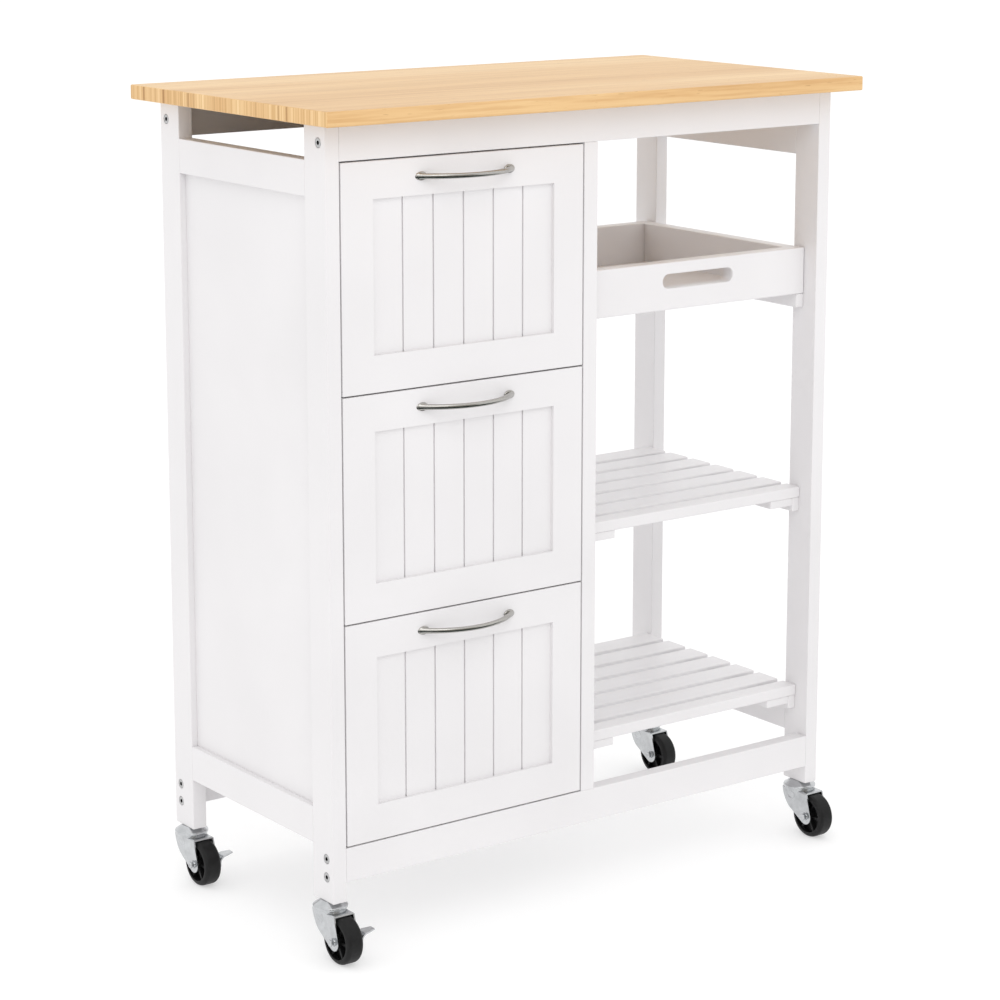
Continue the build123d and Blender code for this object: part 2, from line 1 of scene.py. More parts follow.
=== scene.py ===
# %% [markdown]
# # A kitchen island cart
# A painted board cart with a wooden worktop, three grooved drawers, a pull-out tray, two slatted
# shelves and four plated casters. The cart's boards arrive finished from the frame, at their real
# sizes. This lesson gives every surface its finish and models by hand the small hardware that
# boards and sheets can't show: the bolts, the bow handles and the casters.

# %% The frame
import math
import bpy
from mathutils import Matrix, Vector


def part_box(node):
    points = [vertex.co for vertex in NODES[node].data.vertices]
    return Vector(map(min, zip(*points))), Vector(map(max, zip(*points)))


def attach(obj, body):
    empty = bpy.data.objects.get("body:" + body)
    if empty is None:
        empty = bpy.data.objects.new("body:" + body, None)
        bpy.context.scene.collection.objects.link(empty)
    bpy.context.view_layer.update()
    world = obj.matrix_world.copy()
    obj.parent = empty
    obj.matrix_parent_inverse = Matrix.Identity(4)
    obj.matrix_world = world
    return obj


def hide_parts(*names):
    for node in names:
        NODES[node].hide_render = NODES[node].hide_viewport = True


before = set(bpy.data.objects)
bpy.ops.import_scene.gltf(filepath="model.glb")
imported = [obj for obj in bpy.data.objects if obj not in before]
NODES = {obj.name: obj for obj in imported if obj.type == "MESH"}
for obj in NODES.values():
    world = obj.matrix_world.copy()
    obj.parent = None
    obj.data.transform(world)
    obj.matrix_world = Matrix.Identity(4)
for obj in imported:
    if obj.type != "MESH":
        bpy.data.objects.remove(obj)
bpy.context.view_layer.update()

# %% [markdown]
# ## Sizes and a few hands
# The frame is in metres and the hardware is thought of in millimetres, so one name turns one into
# the other. An operator works on all that is selected, so every new piece starts from an empty
# selection, and faces and edges are then picked by where they are.

# %% Helpers for modelling
MM = 0.001


def middle(node):
    """The middle of a frame node's box."""
    low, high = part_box(node)
    return (low + high) / 2


def fresh(primitive, **how):
    """Add a primitive with nothing else selected, and return it."""
    if bpy.context.object and bpy.context.object.mode != "OBJECT":
        bpy.ops.object.mode_set(mode="OBJECT")
    bpy.ops.object.select_all(action="DESELECT")
    primitive(**how)
    return bpy.context.object


def settle(piece):
    """Move a piece's place and turn into its mesh, so the object sits at the origin."""
    if piece.mode != "OBJECT":
        bpy.ops.object.mode_set(mode="OBJECT")
    bpy.ops.object.select_all(action="DESELECT")
    piece.select_set(True)
    bpy.context.view_layer.objects.active = piece
    bpy.ops.object.transform_apply(location=True, rotation=True, scale=True)
    return piece


def pick(piece, test, kind="FACE"):
    """Enter edit mode with only the faces or edges picked for which test(middle, normal) is true."""
    if bpy.context.object and bpy.context.object.mode != "OBJECT":
        bpy.ops.object.mode_set(mode="OBJECT")
    bpy.ops.object.select_all(action="DESELECT")
    piece.select_set(True)
    bpy.context.view_layer.objects.active = piece
    mesh = piece.data
    for group in (mesh.vertices, mesh.edges, mesh.polygons):
        group.foreach_set("select", [False] * len(group))
    if kind == "FACE":
        for face in mesh.polygons:
            face.select = test(face.center, face.normal)
    else:
        for edge in mesh.edges:
            a, b = (mesh.vertices[i].co for i in edge.vertices)
            edge.select = test((a + b) / 2, (b - a).normalized())
    bpy.ops.object.mode_set(mode="EDIT")
    bpy.ops.mesh.select_mode(type=kind)


def modify(piece, kind, **settings):
    """Add a modifier, set it and apply it."""
    if piece.mode != "OBJECT":
        bpy.ops.object.mode_set(mode="OBJECT")
    bpy.context.view_layer.objects.active = piece
    step = piece.modifiers.new(kind.lower(), kind)
    for name, value in settings.items():
        setattr(step, name, value)
    bpy.ops.object.modifier_apply(modifier=step.name)


def finish_piece(piece, name, degrees=35):
    """Merge doubles, point the faces outwards, smooth up to an angle and settle the piece."""
    pick(piece, lambda at, normal: True)
    bpy.ops.mesh.remove_doubles(threshold=0.002 * MM)
    bpy.ops.mesh.normals_make_consistent(inside=False)
    bpy.ops.object.mode_set(mode="OBJECT")
    settle(piece)
    bpy.ops.object.shade_smooth_by_angle(angle=math.radians(degrees))
    piece.name = name
    return piece


def copy_of(piece, name, moved=(0, 0, 0), turned=None):
    """A copy with a mesh of its own, turned and then moved."""
    twin = piece.copy()
    twin.data = piece.data.copy()
    bpy.context.scene.collection.objects.link(twin)
    twin.data.transform(Matrix.Translation(Vector(moved)) @ (turned or Matrix.Identity(4)))
    twin.name = name
    return twin


def coat(piece, finish):
    """Give a piece one finish and no other."""
    piece.data.materials.clear()
    piece.data.materials.append(finish)


def join(first, *others):
    """Join pieces into the first one."""
    bpy.ops.object.select_all(action="DESELECT")
    for piece in (first, *others):
        piece.select_set(True)
    bpy.context.view_layer.objects.active = first
    bpy.ops.object.join()
    return first


# %% [markdown]
# ## Camera
# A long lens from the front left, a little above the worktop. A small shift keeps the uprights
# nearly upright, as a product photographer does with a view camera.

# %% Camera
bpy.ops.object.camera_add(location=(-1.77544, -2.41029, 1.096))
camera = bpy.context.object
camera.name = "camera"
camera.rotation_euler = (math.radians(90 - 11.1618), 0, math.radians(-36.3189))
camera.data.lens = 103.49
camera.data.sensor_width = 36
camera.data.shift_y = -0.1
camera.data.clip_end = 60
bpy.context.scene.camera = camera
print("lens", camera.data.lens, "mm")

# %% [markdown]
# ## Materials, and how a node is added
# Each finish is a small graph of nodes. One function adds any node with its settings and its links.
# Colours are written as sRGB hex values, and one function turns them to the linear light that the
# shader works in. Patterns read Object coordinates, in metres, so a size in millimetres is a scale.

# %% Helpers for materials
def linear(hex_colour):
    """An sRGB hex value as a linear colour with alpha."""
    parts = [int(hex_colour[i:i + 2], 16) / 255 for i in (0, 2, 4)]
    return [c / 12.92 if c <= 0.04045 else ((c + 0.055) / 1.055) ** 2.4 for c in parts] + [1]


def add(tree, kind, settings=(), **inputs):
    """Add a node with its settings; an input is a value, or another node's output to link."""
    node = tree.nodes.new(kind)
    for name, value in dict(settings).items():
        setattr(node, name, value)
    for name, value in inputs.items():
        key = int(name[2:]) if name.startswith("at") else name.replace("_", " ")
        socket = node.inputs[key]
        if isinstance(value, bpy.types.NodeSocket):
            tree.links.new(value, socket)
        else:
            socket.default_value = value
    return node


def material(name, roughness, metallic=0.0, **sockets):
    """A material with its tree, its shader and its object coordinates."""
    made = bpy.data.materials.new(name)
    made.use_nodes = True
    tree = made.node_tree
    shader = tree.nodes["Principled BSDF"]
    shader.inputs["Roughness"].default_value = roughness
    shader.inputs["Metallic"].default_value = metallic
    for socket, value in sockets.items():
        shader.inputs[socket.replace("_", " ")].default_value = value
    place = add(tree, "ShaderNodeTexCoord").outputs["Object"]
    return made, tree, shader, place


def ramp(tree, factor, *stops):
    """A colour ramp from stops of place and hex colour."""
    node = add(tree, "ShaderNodeValToRGB", Fac=factor)
    elements = node.color_ramp.elements
    while len(elements) < len(stops):
        elements.new(0.5)
    for element, (at, colour) in zip(elements, stops):
        element.position = at
        element.color = linear(colour)
    return node.outputs["Color"]


def span(tree, factor, low, high):
    """A factor from 0 to 1 turned to run from low to high."""
    return add(tree, "ShaderNodeMapRange", Value=factor, To_Min=low, To_Max=high).outputs["Result"]


def mix(tree, way, factor, first, second):
    """Two colours mixed or multiplied."""
    settings = {"data_type": "RGBA", "blend_type": way}
    node = add(tree, "ShaderNodeMix", settings, at0=factor, at6=first, at7=second)
    return node.outputs[2]


def bump(tree, shader, height, depth_mm, strength=1.0):
    """Bump of a real depth from a height that runs from 0 to 1."""
    node = add(tree, "ShaderNodeBump", Strength=strength, Distance=depth_mm * MM, Height=height)
    tree.links.new(node.outputs["Normal"], shader.inputs["Normal"])


def stretched(tree, place, x_mm, y_mm, z_mm):
    """Coordinates in which one pattern cell is that many millimetres along each axis."""
    scale = (1 / (x_mm * MM), 1 / (y_mm * MM), 1 / (z_mm * MM))
    return add(tree, "ShaderNodeMapping", Vector=place, Scale=scale).outputs["Vector"]


def noise(tree, place, detail=3.0, roughness=0.55):
    """Noise with one cell per unit of the coordinates."""
    node = add(tree, "ShaderNodeTexNoise", Vector=place, Scale=1.0, Detail=detail, Roughness=roughness)
    return node.outputs["Fac"]


# %% [markdown]
# ## White satin paint on pine
# The boards are finger-jointed pine under a sprayed white satin paint. Spraying leaves a fine
# orange peel about 2 mm across, and the grain telegraphs through as long, faint ridges. The paint is
# never quite one white: it is a touch warmer where the coat is thin. The ridges follow the board, so
# the finish is made once for each direction that a board can run.

# %% White paint
GRAIN_MM = 1.6
GRAIN_RUN_MM = 90.0
PEEL_MM = 2.2


def white_paint(axis):
    """Satin white paint over pine whose grain runs along one axis."""
    made, tree, shader, place = material(f"satin_white_paint_on_pine_{axis}", 0.42, Coat_Weight=0.08)
    sizes = [GRAIN_RUN_MM if letter == axis else GRAIN_MM for letter in "xyz"]
    grain = noise(tree, stretched(tree, place, *sizes), detail=2.0)
    peel = noise(tree, stretched(tree, place, PEEL_MM, PEEL_MM, PEEL_MM), detail=1.0)
    clouds = noise(tree, stretched(tree, place, 140, 140, 140), detail=2.0)
    colour = ramp(tree, clouds, (0.3, "E3E1E2"), (0.7, "E7E5E6"))
    tree.links.new(colour, shader.inputs["Base Color"])
    tree.links.new(span(tree, clouds, 0.38, 0.46), shader.inputs["Roughness"])
    ridges = add(tree, "ShaderNodeMix", {"data_type": "FLOAT"}, at0=0.4, at2=grain, at3=peel).outputs[0]
    bump(tree, shader, ridges, 0.05, 0.5)
    return made


PAINT = {axis: white_paint(axis) for axis in "xyz"}
print("paints:", [paint.name for paint in PAINT.values()])

# %% [markdown]
# ## The laminated worktop
# The top is glued up from planks of a pale hardwood under a clear satin lacquer. The grain is long,
# so it streaks the top and the long edges, and each plank has its own tone. The ends show the
# laminations cut across, as thin upright strips with darker glue lines between them. A test of the
# distance from the middle, along X, tells the ends from the rest.

# %% Laminated wood
PLANK_MM = 95.0
STRIP_MM = 8.0
END_X = 336.6 * MM          # the pattern of the ends starts this far from the middle


def worktop_wood():
    """Laminated rubberwood with a clear satin lacquer."""
    made, tree, shader, place = material("lacquered_laminated_rubberwood", 0.42, Specular_IOR_Level=0.3)
    planks = noise(tree, stretched(tree, place, 1400, PLANK_MM, 900), detail=1.5)
    streaks = noise(tree, stretched(tree, place, 330, 9, 14), detail=4.0, roughness=0.6)
    fibres = noise(tree, stretched(tree, place, 90, 1.1, 3), detail=3.0, roughness=0.6)
    flecks = noise(tree, stretched(tree, place, 14, 2.2, 1.6), detail=1.0)
    base = ramp(tree, planks, (0.38, "D8AE78"), (0.5, "E5BF8A"), (0.62, "F0D0A0"))
    lines = ramp(tree, streaks, (0.30, "C3965F"), (0.5, "E3BB85"), (0.68, "EFCE9B"))
    mixed = mix(tree, "MIX", 0.36, base, lines)
    fine = ramp(tree, fibres, (0.34, "D2B084"), (0.56, "FFFFFF"))
    shaded = mix(tree, "MULTIPLY", 0.3, mixed, fine)
    specks = ramp(tree, flecks, (0.24, "A98B62"), (0.30, "FFFFFF"))
    long_grain = mix(tree, "MULTIPLY", 0.35, shaded, specks)
    strips = noise(tree, stretched(tree, place, 4000, STRIP_MM, 4000), detail=2.0, roughness=0.5)
    tones = noise(tree, stretched(tree, place, 4000, 55, 4000), detail=1.0)
    cut = ramp(tree, strips, (0.34, "B98F5C"), (0.42, "DFB882"), (0.5, "EAC691"),
               (0.56, "D3A970"), (0.61, "EBC792"), (0.7, "F1D09E"))
    end_grain = mix(tree, "MULTIPLY", 0.4, cut, ramp(tree, tones, (0.35, "D8B88C"), (0.6, "FFFFFF")))
    across = add(tree, "ShaderNodeSeparateXYZ", Vector=place).outputs["X"]
    out = add(tree, "ShaderNodeMath", {"operation": "ABSOLUTE"}, at0=across).outputs[0]
    at_end = add(tree, "ShaderNodeMath", {"operation": "GREATER_THAN"}, at0=out, at1=END_X).outputs[0]
    final = mix(tree, "MIX", at_end, long_grain, end_grain)
    tree.links.new(final, shader.inputs["Base Color"])
    tree.links.new(span(tree, fibres, 0.38, 0.48), shader.inputs["Roughness"])
    bump(tree, shader, fibres, 0.05, 0.25)
    return made


WOOD = worktop_wood()

# %% [markdown]
# ## Plated metals and moulded black
# The forks and caps are pressed steel with bright zinc plate, which shows faint cloudy spangle and
# rubbed edges; the finish gives the spangle only. The handles are die-cast zinc with satin nickel plate,
# brushed lengthwise. The wheels are moulded polyolefin: black, low gloss, with very fine texture from the
# mould.

# %% Metals and plastics
def plated(name, dark, light, roughness, spot_mm, depth_mm):
    """A plated metal: two close tones in cloudy spots, and a roughness that follows them."""
    made, tree, shader, place = material(name, roughness, 1.0)
    spots = noise(tree, stretched(tree, place, spot_mm, spot_mm, spot_mm), detail=4.0, roughness=0.6)
    tree.links.new(ramp(tree, spots, (0.35, dark), (0.65, light)), shader.inputs["Base Color"])
    tree.links.new(span(tree, spots, roughness * 0.8, roughness * 1.25), shader.inputs["Roughness"])
    bump(tree, shader, spots, depth_mm, 0.06)
    return made


ZINC = plated("bright_zinc_plated_steel", "BDBFC1", "CBCDCF", 0.22, 9.0, 0.05)
RUNNER_STEEL = plated("galvanised_runner_steel", "AEB2B5", "C2C5C7", 0.34, 9.0, 0.05)
BOLT_STEEL = plated("nickel_plated_bolt_steel", "A9A9A9", "C6C6C6", 0.28, 2.0, 0.03)
# The socket's walls get a near-black finish: painted shade in the deep hex socket, not a coating.
SOCKET_PAINTED_SHADE = plated("socket_steel_with_painted_shade", "1C1C1C", "2A2A2A", 0.5, 1.0, 0.03)


def brushed_nickel():
    """Satin nickel plate brushed along the handle, so its scratches are long along X."""
    made, tree, shader, place = material("satin_nickel_plate", 0.25, 1.0, Anisotropic=0.4)
    scratches = noise(tree, stretched(tree, place, 24, 0.5, 0.5), detail=2.0)
    tree.links.new(ramp(tree, scratches, (0.3, "AFADA9"), (0.7, "B9B7B3")), shader.inputs["Base Color"])
    tree.links.new(span(tree, scratches, 0.2, 0.28), shader.inputs["Roughness"])
    bump(tree, shader, scratches, 0.008, 0.05)
    return made


NICKEL = brushed_nickel()


def moulded_black():
    """Black polyolefin with a fine spark-eroded mould texture."""
    made, tree, shader, place = material("moulded_black_polyolefin", 0.48, Specular_IOR_Level=0.25)
    texture = noise(tree, stretched(tree, place, 0.7, 0.7, 0.7), detail=2.0)
    scuffs = noise(tree, stretched(tree, place, 7, 7, 7), detail=4.0, roughness=0.65)
    tree.links.new(ramp(tree, scuffs, (0.35, "111111"), (0.72, "1A1A1B")), shader.inputs["Base Color"])
    tree.links.new(span(tree, scuffs, 0.40, 0.58), shader.inputs["Roughness"])
    bump(tree, shader, texture, 0.03, 0.4)
    return made


BLACK = moulded_black()
print("metals and plastics:", ZINC.name, NICKEL.name, BLACK.name)

# %% [markdown]
# ## Giving the frame its finishes
# Every board keeps its shape from the frame. For most boards the longest side says which way the grain
# runs; the boards for which it does not are listed by name.

# %% Finishes on the frame's nodes
def grain_axis(node):
    """The axis along which a node is longest."""
    low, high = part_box(node)
    size = high - low
    return "xyz"[max(range(3), key=lambda i: size[i])]


GRAIN_Z = {"divider_posts"}
GRAIN_X = {"middle_shelf_slats", "lower_shelf_slats"}
GRAIN_Y = {"shelf_cleats", "shelf_battens", "tray_runners", "tray_sides"}
ZINC_NODES = {"caster_stems", "caster_caps", "barrel_nuts", "frame_bolts"}


def finish_for(node):
    """The finish of a frame node."""
    if node == "worktop":
        return WOOD
    if node.endswith("runners") and node != "tray_runners":
        return RUNNER_STEEL
    if node in ZINC_NODES or node.endswith(("_fork", "_brake")):
        return ZINC
    if node.endswith("_wheel"):
        return BLACK
    if node.endswith("_handle"):
        return NICKEL
    if node in GRAIN_Z or node.endswith("_panel"):
        return PAINT["z"]
    if node in GRAIN_X:
        return PAINT["x"]
    if node in GRAIN_Y or node.endswith("_box"):
        return PAINT["y"]
    return PAINT[grain_axis(node)]


for name, node in NODES.items():
    coat(node, finish_for(name))
print("finished nodes:", len(NODES))

# %% [markdown]
# ## Frame bolts
# A frame bolt is a short steel cylinder let flush into the leg, with a hexagonal socket for a key.
# The rim is bevelled so that it catches a line of light, and the socket's walls are near-black as painted
# shade deep in the socket.
# One head is modelled facing left, and turned and copied to the other holes.

# %% Frame bolts
BOLT_R, BOLT_DEEP, SOCKET_R, SOCKET_DEEP = 4.9 * MM, 2.4 * MM, 2.3 * MM, 1.9 * MM
SHANK_R, SHANK_L, SHANK_GAP = 2.5 * MM, 49 * MM, 0.2 * MM
FACING_LEFT = (0, -math.pi / 2, 0)


def bolt_head():
    """A socket head whose face is at the origin and looks to the left."""
    head = fresh(bpy.ops.mesh.primitive_cylinder_add, vertices=48, radius=BOLT_R, depth=BOLT_DEEP,
                 location=(BOLT_DEEP / 2, 0, 0), rotation=FACING_LEFT)
    settle(head)
    pick(head, lambda at, normal: normal.x < -0.9)
    bpy.ops.mesh.bevel(offset=0.45 * MM, segments=3, affect="EDGES")
    modify(head, "WEIGHTED_NORMAL")
    key = fresh(bpy.ops.mesh.primitive_cylinder_add, vertices=6, radius=SOCKET_R, depth=2 * SOCKET_DEEP,
                rotation=FACING_LEFT)
    settle(key)
    # The socket's cut walls take the near-black painted shade.
    key.data.materials.append(SOCKET_PAINTED_SHADE)
    head.data.materials.append(BOLT_STEEL)
    modify(head, "BOOLEAN", operation="DIFFERENCE", object=key, solver="EXACT", material_mode="TRANSFER")
    bpy.data.objects.remove(key)
    shank = fresh(bpy.ops.mesh.primitive_cylinder_add, vertices=24, radius=SHANK_R, depth=SHANK_L,
                  location=(BOLT_DEEP + SHANK_GAP + SHANK_L / 2, 0, 0), rotation=FACING_LEFT)
    settle(shank)
    shank.data.materials.append(BOLT_STEEL)
    return finish_piece(join(head, shank), "bolt")


bolt = bolt_head()
leg_low, leg_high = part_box("leg_front_left")
BOLT_INSET = 11.5 * MM      # from a leg's outer edge
LOWER_BOLTS, UPPER_BOLT = (25.5 * MM, 44.5 * MM), 18 * MM       # above the leg's foot, below its head
heights = [leg_low.z + up for up in LOWER_BOLTS] + [leg_high.z - UPPER_BOLT]
half_w, half_d = -leg_low.x, -leg_low.y
bolts = []
for side in (-1, 1):
    for end in (-1, 1):
        for height in heights:
            at = (side * half_w, end * (half_d - BOLT_INSET), height)
            turn = Matrix.Rotation(math.pi if side > 0 else 0, 4, "Z")
            bolts.append(copy_of(bolt, "bolt_copy", at, turn))
bpy.data.objects.remove(bolt)
frame_bolts = join(*bolts)
frame_bolts.name = "socket_bolts"
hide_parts("frame_bolts")
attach(frame_bolts, "frame")
print("bolts:", len(bolts), "faces:", len(frame_bolts.data.polygons))

# %% [markdown]
# ## Bow handles
# A bow handle is a bar bent to an arc, a little thinner in the middle, that widens where it lands on
# its two oval feet. An ellipse is spun about the arc's centre to make the bar, and then each ring is
# scaled about its own middle. The feet are thin discs with a rounded rim. Screws with cross slots
# come through the drawer's front from behind.

# %% Bow handles
SPAN, RISE = 55 * MM, 22.5 * MM
BOW_R = (SPAN ** 2 + RISE ** 2) / (2 * RISE)
BOW_TURN = 2 * math.asin(SPAN / BOW_R) + math.radians(5)    # runs a little past the front, to be cut
RINGS = 48
FLARE_FROM = 0.8            # the share of each half that keeps its size before the bar widens
WAIST = 0.10                # how much thinner the bar is in the middle than towards its ends
FLARE = 0.38                # how much it then widens where it lands on its feet
FRONT_T, SCREW_R, SCREW_HEAD_R, SCREW_HEAD_T = 15 * MM, 2 * MM, 4 * MM, 2.2 * MM
SCREW_AT = 48 * MM
BAR_HIGH, BAR_THICK = 5.8 * MM, 4.8 * MM
FOOT_AT, FOOT_LONG, FOOT_HIGH, FOOT_THICK = 52.4 * MM, 12.6 * MM, 8.8 * MM, 1.4 * MM
FOOT_ROUND, SCREW_ROUND = 1.2 * MM, 0.8 * MM
CROSS_LONG, CROSS_DEEP, CROSS_WIDE = 4.4 * MM, 2 * MM, 0.9 * MM


def ring_test(centre, angle):
    """True for the edges of the ring that stands at that angle about the centre."""
    def test(at, direction):
        out = at - centre
        return abs(math.atan2(out.y, out.x) - angle) < 0.2 * BOW_TURN / RINGS
    return test


def bow_bar():
    """The bent bar, with the drawer's front at y = 0 and its own middle at x = 0 and z = 0."""
    centre = Vector((0, BOW_R - RISE, 0))
    first = -math.pi / 2 - BOW_TURN / 2
    start = centre + BOW_R * Vector((math.cos(first), math.sin(first), 0))
    bar = fresh(bpy.ops.mesh.primitive_circle_add, vertices=32, radius=0.5, location=start,
                rotation=(math.pi / 2, 0, BOW_TURN / 2))
    bar.scale = (BAR_THICK, BAR_HIGH, 1)
    settle(bar)
    pick(bar, lambda at, direction: True, "EDGE")
    bpy.ops.mesh.spin(steps=RINGS, angle=-BOW_TURN, center=centre, axis=(0, 0, 1))
    for i in range(RINGS + 1):
        away = abs(2 * i / RINGS - 1)
        size = 1 - WAIST * (1 - away ** 2) + FLARE * max(0, (away - FLARE_FROM) / (1 - FLARE_FROM)) ** 2
        angle = first + BOW_TURN * i / RINGS
        ring_middle = centre + BOW_R * Vector((math.cos(angle), math.sin(angle), 0))
        pick(bar, ring_test(centre, angle), "EDGE")
        bpy.ops.transform.resize(value=(size, size, size), center_override=ring_middle)
    bpy.ops.mesh.select_all(action="SELECT")
    bpy.ops.mesh.bisect(plane_co=(0, 0, 0), plane_no=(0, 1, 0), use_fill=True, clear_outer=True)
    bpy.ops.object.mode_set(mode="OBJECT")
    return bar


def handle_foot(x):
    """An oval foot with a rounded rim, against the drawer's front."""
    foot = fresh(bpy.ops.mesh.primitive_cylinder_add, vertices=48, radius=0.5, depth=1,
                 location=(x, -FOOT_THICK / 2, 0), rotation=(math.pi / 2, 0, 0))
    foot.scale = (FOOT_LONG, FOOT_HIGH, FOOT_THICK)
    settle(foot)
    pick(foot, lambda at, normal: normal.y < -0.9)
    bpy.ops.mesh.bevel(offset=FOOT_ROUND, segments=5, affect="EDGES")
    bpy.ops.object.mode_set(mode="OBJECT")
    return foot


def handle_screw(x):
    """A machine screw with a bevelled pan head behind the drawer front."""
    screw = fresh(bpy.ops.mesh.primitive_cylinder_add, vertices=24, radius=SCREW_R, depth=FRONT_T,
                  location=(x, FRONT_T / 2, 0), rotation=(math.pi / 2, 0, 0))
    settle(screw)
    head = fresh(bpy.ops.mesh.primitive_cylinder_add, vertices=32, radius=SCREW_HEAD_R, depth=SCREW_HEAD_T,
                 location=(x, FRONT_T + SCREW_HEAD_T / 2, 0), rotation=(math.pi / 2, 0, 0))
    settle(head)
    pick(head, lambda at, normal: normal.y > 0.9)
    bpy.ops.mesh.bevel(offset=SCREW_ROUND, segments=3, affect="EDGES")
    for turn in (0, math.pi / 2):
        slot = fresh(bpy.ops.mesh.primitive_cube_add, size=1,
                     location=(x, FRONT_T + SCREW_HEAD_T, 0), rotation=(0, turn, 0))
        slot.scale = (CROSS_LONG, CROSS_DEEP, CROSS_WIDE)
        settle(slot)
        modify(head, "BOOLEAN", operation="DIFFERENCE", object=slot, solver="EXACT")
        bpy.data.objects.remove(slot)
    return join(screw, head)


def bow_handle():
    """The whole handle: bar, feet and screws."""
    bar = bow_bar()
    for side in (-1, 1):
        foot = handle_foot(side * FOOT_AT)
        modify(bar, "BOOLEAN", operation="UNION", object=foot, solver="EXACT")
        bpy.data.objects.remove(foot)
    coat(bar, NICKEL)
    screws = [handle_screw(side * SCREW_AT) for side in (-1, 1)]
    for screw in screws:
        screw.data.materials.append(BOLT_STEEL)
    return finish_piece(join(bar, *screws), "bow_handle", 40)


DRAWERS = ("bottom", "middle", "top")
handle = bow_handle()
for drawer in DRAWERS:
    front_low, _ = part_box(f"drawer_{drawer}_front")
    at = middle(f"drawer_{drawer}_handle")
    piece = copy_of(handle, f"bow_handle_{drawer}", (at.x, front_low.y, at.z))
    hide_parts(f"drawer_{drawer}_handle")
    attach(piece, f"drawer_{drawer}")
bpy.data.objects.remove(handle)
print("handle size in mm:", [round(v / MM, 1) for v in piece.dimensions])

# %% [markdown]
# ## Caster caps
# Each leg ends in a pressed cap: a short skirt, then a cone up to the wood. It is a disc whose top
# face is extruded and drawn in, and the skirt's two rims are bevelled, because pressed steel has no
# sharp edge.

# %% Caster caps
CAP_R, CAP_TOP_R, CAP_LOW, CAP_SKIRT = 17.7 * MM, 9.8 * MM, 52.3 * MM, 2.3 * MM
LEG_FOOT = leg_low.z


def caster_cap():
    """A cap on the swivel axis, at its height above the floor."""
    cap = fresh(bpy.ops.mesh.primitive_cylinder_add, vertices=96, radius=CAP_R, depth=CAP_SKIRT,
                location=(0, 0, CAP_LOW + CAP_SKIRT / 2))
    settle(cap)
    pick(cap, lambda at, normal: normal.z > 0.9)
    rise = LEG_FOOT - CAP_LOW - CAP_SKIRT
    bpy.ops.mesh.extrude_region_move(TRANSFORM_OT_translate={"value": (0, 0, rise)})
    narrow = CAP_TOP_R / CAP_R
    bpy.ops.transform.resize(value=(narrow, narrow, 1), center_override=(0, 0, LEG_FOOT))
    pick(cap, lambda at, along: Vector((at.x, at.y)).length > 0.97 * CAP_R and abs(along.z) < 0.1, "EDGE")
    bpy.ops.mesh.bevel(offset=0.45 * MM, segments=3, affect="EDGES")
    return finish_piece(cap, "caster_cap", 32)


CORNERS = ("front_left", "back_left", "front_right", "back_right")
cap = caster_cap()
caps = []
for corner in CORNERS:
    at = middle(f"leg_{corner}")
    caps.append(copy_of(cap, "cap_copy", (at.x, at.y, 0)))
bpy.data.objects.remove(cap)
caster_caps = join(*caps)
caster_caps.name = "pressed_caster_caps"
coat(caster_caps, ZINC)
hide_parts("caster_caps")
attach(caster_caps, "frame")
print("caps:", len(caps), "faces:", len(caster_caps.data.polygons))

# %% [markdown]
# ## Forks
# A fork is one pressed sheet: a plate with two cheeks bent down, and an axle riveted through their
# ears. A merged copy of the frame's fork is worked on. It is trimmed on both sides, a head's height
# inside its widest points, which are the swivel plate's. A dent is pressed into each cheek under the
# bend, to stiffen it, and every sharp edge gets a small bevel. A rivet head with the punch's dimple
# stands on each trimming plane, which is outside the axle's own heads where no lever is fitted.

# %% Forks
TRAIL, AXLE_HIGH, CHEEK = 23 * MM, 24 * MM, 12.2 * MM
DENT_AT, DENT_SIZE, DENT_OUT = (0.5 * MM, 43 * MM), (1.7 * MM, 6.2 * MM, 4.6 * MM), 0.4 * MM
AXLE_HEAD, RIVET_R, RIVET_ROUND = 1.2 * MM, 3.6 * MM, 0.5 * MM
DIMPLE_R, DIMPLE_DEEP, DIMPLE_TAPER = 1.6 * MM, 0.8 * MM, 0.45


def rivet(side, x):
    """A set rivet head that looks outwards along X, with the punch's dimple in it."""
    head = fresh(bpy.ops.mesh.primitive_cylinder_add, vertices=40, radius=RIVET_R, depth=AXLE_HEAD,
                 location=(x + side * AXLE_HEAD / 2, -TRAIL, AXLE_HIGH),
                 rotation=(0, side * math.pi / 2, 0))
    settle(head)
    pick(head, lambda at, normal: side * normal.x > 0.9)
    bpy.ops.mesh.bevel(offset=RIVET_ROUND, segments=3, affect="EDGES")
    pick(head, lambda at, normal: side * normal.x > 0.99 and side * (at.x - x) > 0.9 * AXLE_HEAD)
    bpy.ops.mesh.inset(thickness=RIVET_R - RIVET_ROUND - DIMPLE_R)
    bpy.ops.mesh.extrude_region_move(TRANSFORM_OT_translate={"value": (-side * DIMPLE_DEEP, 0, 0)})
    bpy.ops.transform.resize(value=(1, DIMPLE_TAPER, DIMPLE_TAPER), center_override=(x, -TRAIL, AXLE_HIGH))
    bpy.ops.object.mode_set(mode="OBJECT")
    return head


